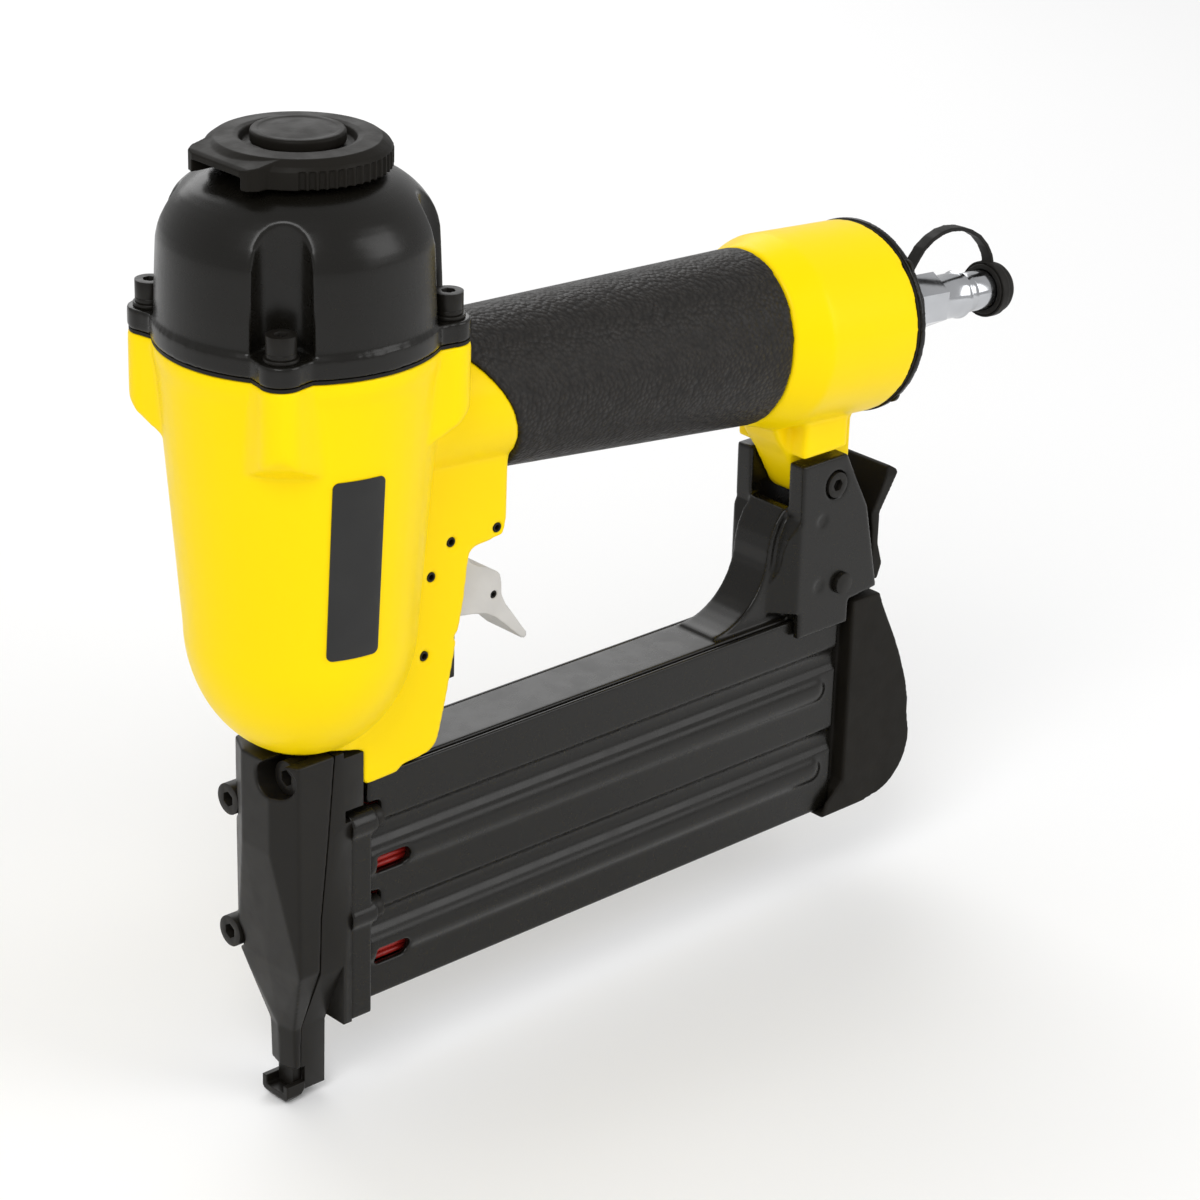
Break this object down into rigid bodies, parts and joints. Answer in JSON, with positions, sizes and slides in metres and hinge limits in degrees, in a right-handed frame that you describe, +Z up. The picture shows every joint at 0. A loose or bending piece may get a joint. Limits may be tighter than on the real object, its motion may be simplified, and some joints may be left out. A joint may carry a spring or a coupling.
{
  "type": "pneumatic brad nailer",
  "caption": "Pneumatic brad nailer with a tapered yellow barrel, black domed cap, rubber grip, slide-back magazine and sprung contact foot; drives thin nails with compressed air.",
  "frame": {"origin": "On the barrel's axis, in the plane of the contact foot's sole.", "axes": "+Z up the barrel against the driving direction; +X along the handle to the air inlet; +Y to the tool's left-hand side seen from behind, away from the side with one cover screw."},
  "size_m": [0.277, 0.0674, 0.2463],
  "materials": {
    "yellow_paint": "glossy",
    "black_paint": "satin",
    "black_plastic": "satin",
    "grip_rubber": "pebbled",
    "soft_rubber": "matte",
    "plated_steel": "polished",
    "bright_steel": "ground",
    "black_steel": "blackened",
    "cast_aluminium": "cast",
    "brass": "turned",
    "red_paint": "satin",
    "label_film": "printed"
  },
  "bodies": {
    "frame": {"body_housing": "yellow_paint", "label_plate": "label_film", "grip_sleeve": "grip_rubber", "end_cap_gasket": "soft_rubber", "end_cap": "black_paint", "end_cap_screws": "black_steel", "air_plug": "plated_steel", "dust_cap_tether": "soft_rubber", "cap_gasket": "soft_rubber", "cylinder_cap": "black_paint", "cap_flat_washers": "black_steel", "cap_spring_washers": "black_steel", "cap_screws": "black_steel", "deflector_o_ring": "soft_rubber", "deflector_knob": "black_plastic", "head_valve_spring": "bright_steel", "cylinder_liner": "cast_aluminium", "liner_o_rings": "soft_rubber", "bumper": "soft_rubber", "nose_cover": "black_steel", "nose_plate": "black_steel", "nose_cover_screw": "black_steel", "nose_front_screws": "black_steel", "nose_rear_screws": "black_steel", "contact_spring": "bright_steel", "contact_guide_pin": "black_steel", "trigger_pivot_pin": "black_steel", "valve_body": "brass", "valve_o_rings": "soft_rubber", "valve_spring": "bright_steel", "valve_pins": "black_steel", "magazine_flange": "black_paint", "magazine_rail": "black_paint", "latch_pin": "black_steel", "latch_spring": "bright_steel", "bracket_screw": "black_steel", "bracket_nut": "bright_steel"},
    "exhaust": {"exhaust_deflector": "black_plastic"},
    "top_valve": {"head_valve": "cast_aluminium", "head_valve_seal": "soft_rubber"},
    "driver": {"piston": "cast_aluminium", "piston_o_ring": "soft_rubber", "driver_blade": "bright_steel", "blade_pin": "bright_steel"},
    "work_contact": {"contact_arm": "black_steel", "contact_foot": "black_steel"},
    "trigger_body": {"trigger": "cast_aluminium", "lever_pin": "black_steel"},
    "lever": {"trigger_lever": "bright_steel"},
    "stem": {"valve_stem": "bright_steel"},
    "magazine": {"magazine_channel": "black_paint", "end_cover": "black_plastic", "pusher_spring": "bright_steel"},
    "follower": {"pusher": "red_paint"},
    "latch": {"magazine_latch": "black_plastic"},
    "inlet_cap": {"dust_cap": "soft_rubber"}
  },
  "joints": [
    {"name": "deflector_turn", "type": "hinge", "parent": "frame", "child": "exhaust", "pos_m": [0, 0, 0.241], "axis": [0, 0, 1], "continuous": true},
    {"name": "head_valve_lift", "type": "slide", "parent": "frame", "child": "top_valve", "axis": [0, 0, 1], "range_m": [0, 0.005], "stiffness_N_per_m": 600, "springref_m": -0.004, "deforming": ["head_valve_spring"]},
    {"name": "piston_drive", "type": "slide", "parent": "frame", "child": "driver", "axis": [0, 0, -1], "range_m": [0, 0.073]},
    {"name": "contact_slide", "type": "slide", "parent": "frame", "child": "work_contact", "axis": [0, 0, 1], "range_m": [0, 0.0036], "stiffness_N_per_m": 900, "springref_m": -0.004, "deforming": ["contact_spring"]},
    {"name": "trigger_pull", "type": "hinge", "parent": "frame", "child": "trigger_body", "pos_m": [0.0298, 0, 0.1334], "axis": [0, -1, 0], "range_deg": [0, 9], "stiffness_Nm_per_rad": 0.6, "springref_deg": -5.73},
    {"name": "lever_tilt", "type": "hinge", "parent": "trigger_body", "child": "lever", "pos_m": [0.0546, 0, 0.1202], "axis": [0, 1, 0], "range_deg": [0, 8], "stiffness_Nm_per_rad": 0.02, "springref_deg": -5.73},
    {"name": "valve_stem_slide", "type": "slide", "parent": "frame", "child": "stem", "axis": [0, 0, 1], "range_m": [0, 0.0024], "deforming": ["valve_spring"]},
    {"name": "magazine_slide", "type": "slide", "parent": "frame", "child": "magazine", "axis": [1, 0, 0], "range_m": [0, 0.12]},
    {"name": "pusher_slide", "type": "slide", "parent": "magazine", "child": "follower", "axis": [1, 0, 0], "range_m": [0, 0.1], "stiffness_N_per_m": 60, "springref_m": -0.08, "deforming": ["pusher_spring"]},
    {"name": "latch_tilt", "type": "hinge", "parent": "frame", "child": "latch", "pos_m": [0.1729, 0, 0.093], "axis": [0, -1, 0], "range_deg": [0, 10], "stiffness_Nm_per_rad": 0.5, "springref_deg": -8.59},
    {"name": "dust_cap_pull", "type": "slide", "parent": "frame", "child": "inlet_cap", "axis": [0.9971, 0, -0.0755], "range_m": [0, 0.016], "deforming": ["dust_cap_tether"]}
  ],
  "couplings": [
    {"joint": "valve_stem_slide", "follows": "trigger_pull", "m_per_rad": 0.0134}
  ]
}
